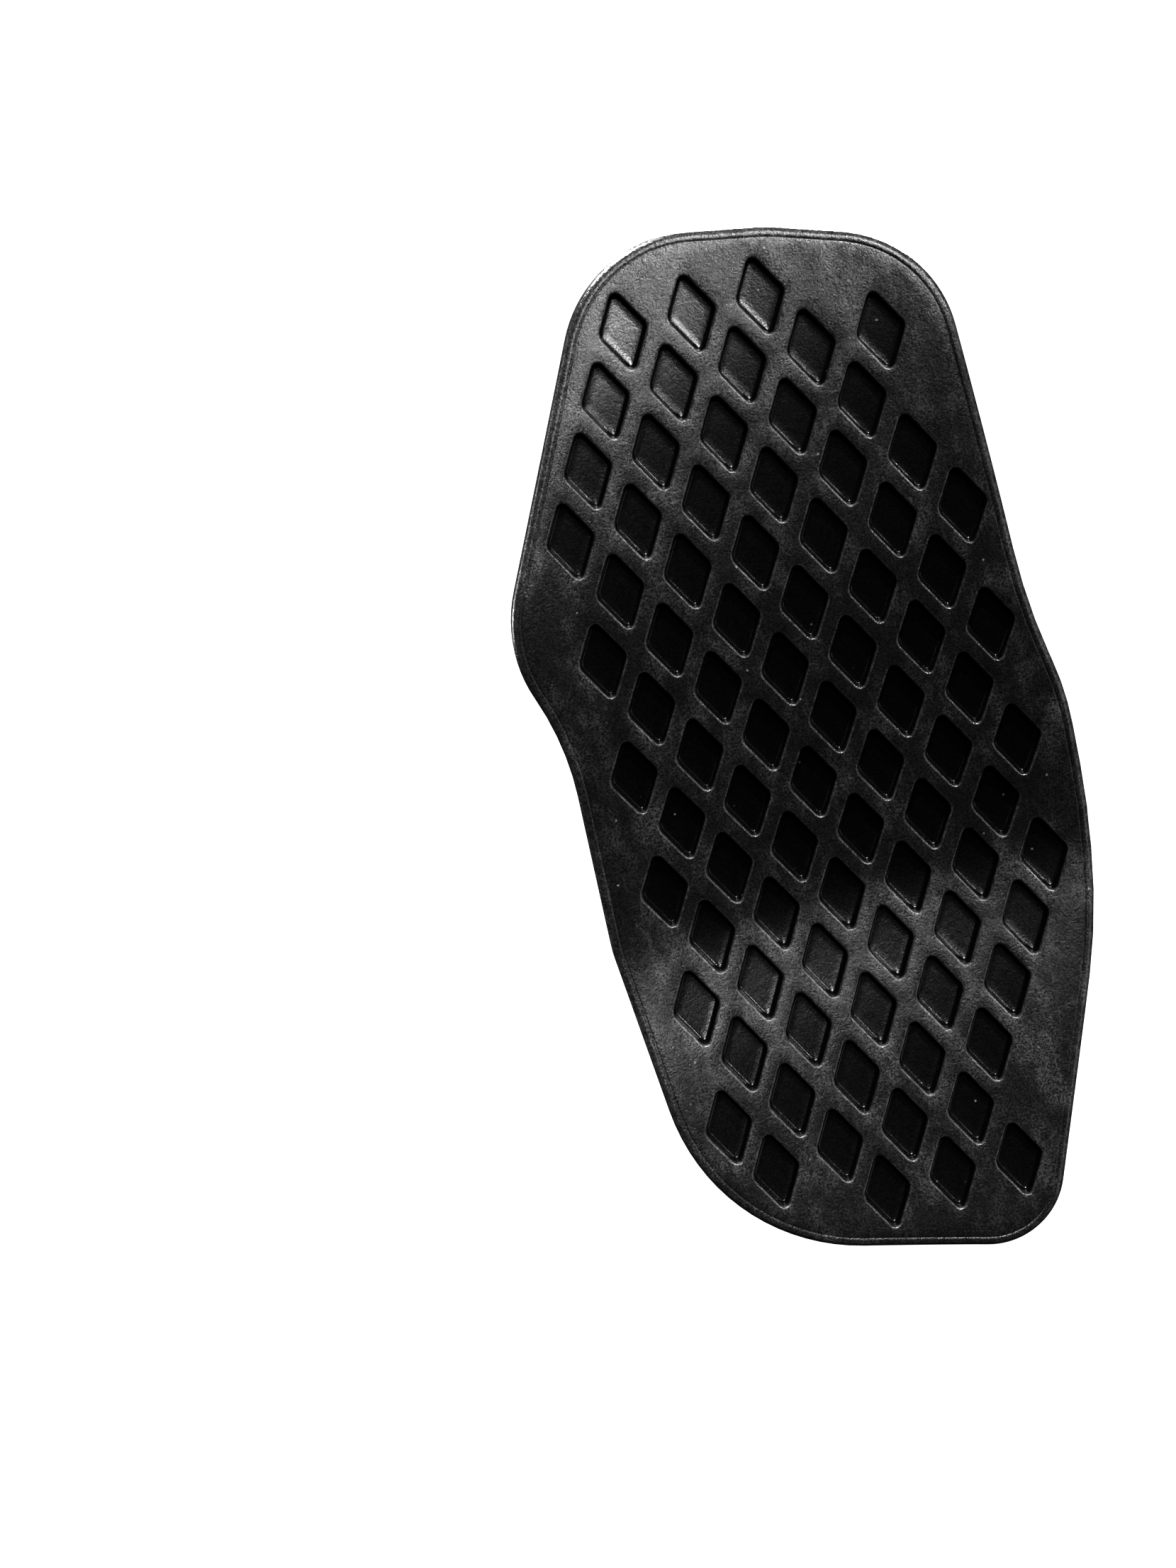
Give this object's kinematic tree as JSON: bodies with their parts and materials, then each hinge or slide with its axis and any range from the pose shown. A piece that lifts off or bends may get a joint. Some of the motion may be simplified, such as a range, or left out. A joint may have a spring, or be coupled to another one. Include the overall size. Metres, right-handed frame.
{
  "type": "shin guard",
  "caption": "Contoured moulded rubber shin guard plate, one side covered in diamond pockets, the other smooth with a flared neck and a rounded triangular head.",
  "frame": {"origin": "centre of the plate on its pocketed body-side face", "axes": "+Z along the plate's length towards the knob end, +Y out of the body side, the knob points to -Y"},
  "size_m": [0.0818, 0.0334, 0.1681],
  "materials": {
    "pad_rubber": "matt moulded, fine grain",
    "shell_rubber": "matt moulded",
    "badge_rubber": "matt, fine grain",
    "core_plastic": "matt",
    "screw_steel": "plain"
  },
  "bodies": {
    "root": {"body_pad": "pad_rubber", "core_plate": "core_plastic", "outer_shell": "shell_rubber", "post_core": "core_plastic", "neck_sleeve": "shell_rubber", "head_body": "shell_rubber", "head_insert": "core_plastic", "badge": "badge_rubber", "head_screw_1": "screw_steel", "head_screw_2": "screw_steel"}
  },
  "joints": []
}
